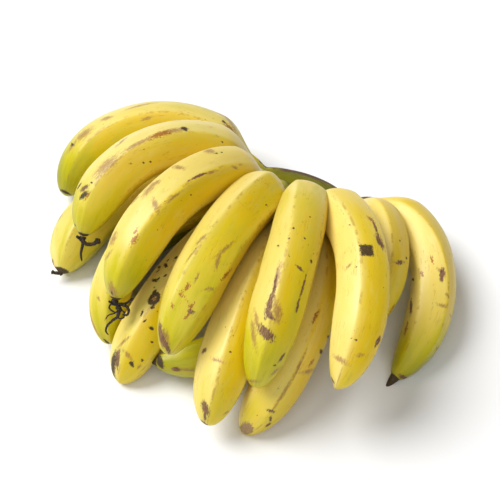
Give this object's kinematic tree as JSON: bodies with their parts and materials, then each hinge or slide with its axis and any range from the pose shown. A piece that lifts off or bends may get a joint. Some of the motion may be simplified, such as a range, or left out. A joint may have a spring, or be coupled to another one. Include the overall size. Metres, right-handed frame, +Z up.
{
  "type": "hand of bananas",
  "caption": "Ripe bananas in two rows joined by their cut crown, lying palm down; fruit to arrange, grab or weigh.",
  "frame": {"origin": "middle of the hand's box, on the surface that it lies on", "axes": "+X along the crown towards the right end finger, -Y towards the fingers' tips, +Z up"},
  "size_m": [0.3239, 0.2418, 0.1051],
  "materials": {
    "banana_skin": "waxy satin skin, yellow with green ends, brown scars and a green crown",
    "dried_flower": "dry, rough, nearly black"
  },
  "bodies": {
    "root": {"banana_hand": "banana_skin", "dried_flower_left": "dried_flower", "dried_flower_middle": "dried_flower"}
  },
  "joints": []
}
